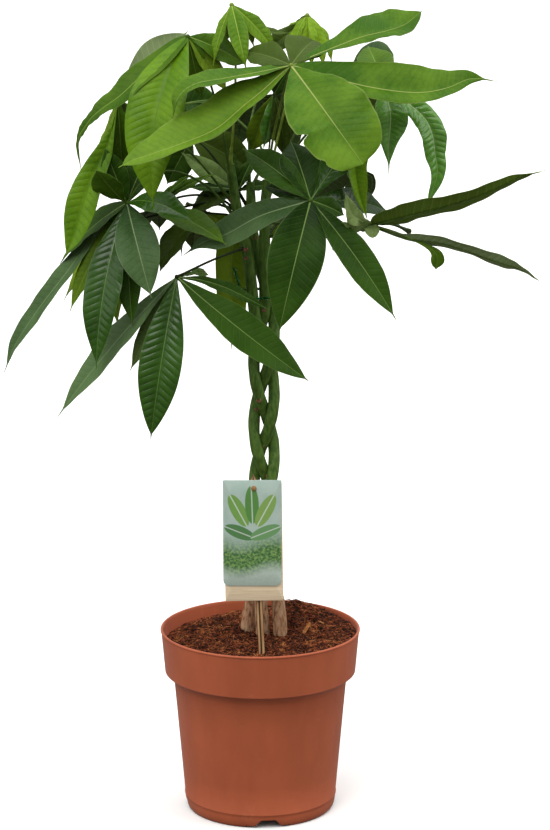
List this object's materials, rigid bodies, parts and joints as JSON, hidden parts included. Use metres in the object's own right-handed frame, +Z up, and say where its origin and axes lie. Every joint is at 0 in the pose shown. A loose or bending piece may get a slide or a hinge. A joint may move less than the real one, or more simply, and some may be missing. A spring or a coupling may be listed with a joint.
{
  "type": "potted money tree",
  "caption": "Money tree house plant with plaited green stems and palmate leaves, in a round plastic nursery pot with a picture tag on a wood stake.",
  "frame": {"origin": "centre of the whole plant's bounding box seen from above, which is within a few millimetres of the pot's axis, at the height of the surface that the pot stands on", "axes": "+Z up along the stems; the side with the tag faces -Y; +X is to its right"},
  "size_m": [0.4493, 0.3122, 0.7078],
  "materials": {
    "pot_plastic": "satin",
    "coir_soil": "matte",
    "stem_bark": "matte",
    "leaf_green": "satin",
    "tinsel_wire": "gloss",
    "stake_wood": "matte",
    "plate_wood": "matte",
    "printed_card": "satin",
    "pin_wood": "satin"
  },
  "bodies": {
    "root": {"pot": "pot_plastic", "soil": "coir_soil", "stem_left": "stem_bark", "stem_right": "stem_bark", "stem_middle": "stem_bark", "tie": "tinsel_wire", "tag_stake": "stake_wood", "tag_plate": "plate_wood", "tag_card": "printed_card", "tag_pin": "pin_wood", "leaf_front_top": "leaf_green", "leaf_young_left": "leaf_green", "leaf_upper_left": "leaf_green", "leaf_far_left": "leaf_green", "leaf_mid_left": "leaf_green", "leaf_low_left": "leaf_green", "leaf_front_centre": "leaf_green", "leaf_low_right": "leaf_green", "leaf_upper_right": "leaf_green", "leaf_young_right": "leaf_green", "leaf_inner_top": "leaf_green", "leaf_inner_left": "leaf_green", "leaf_inner_low": "leaf_green", "leaf_left_behind": "leaf_green", "leaf_inner_right": "leaf_green", "leaf_back_left": "leaf_green", "leaf_back_centre": "leaf_green", "leaf_back_top": "leaf_green", "leaf_back_right": "leaf_green"}
  },
  "joints": []
}
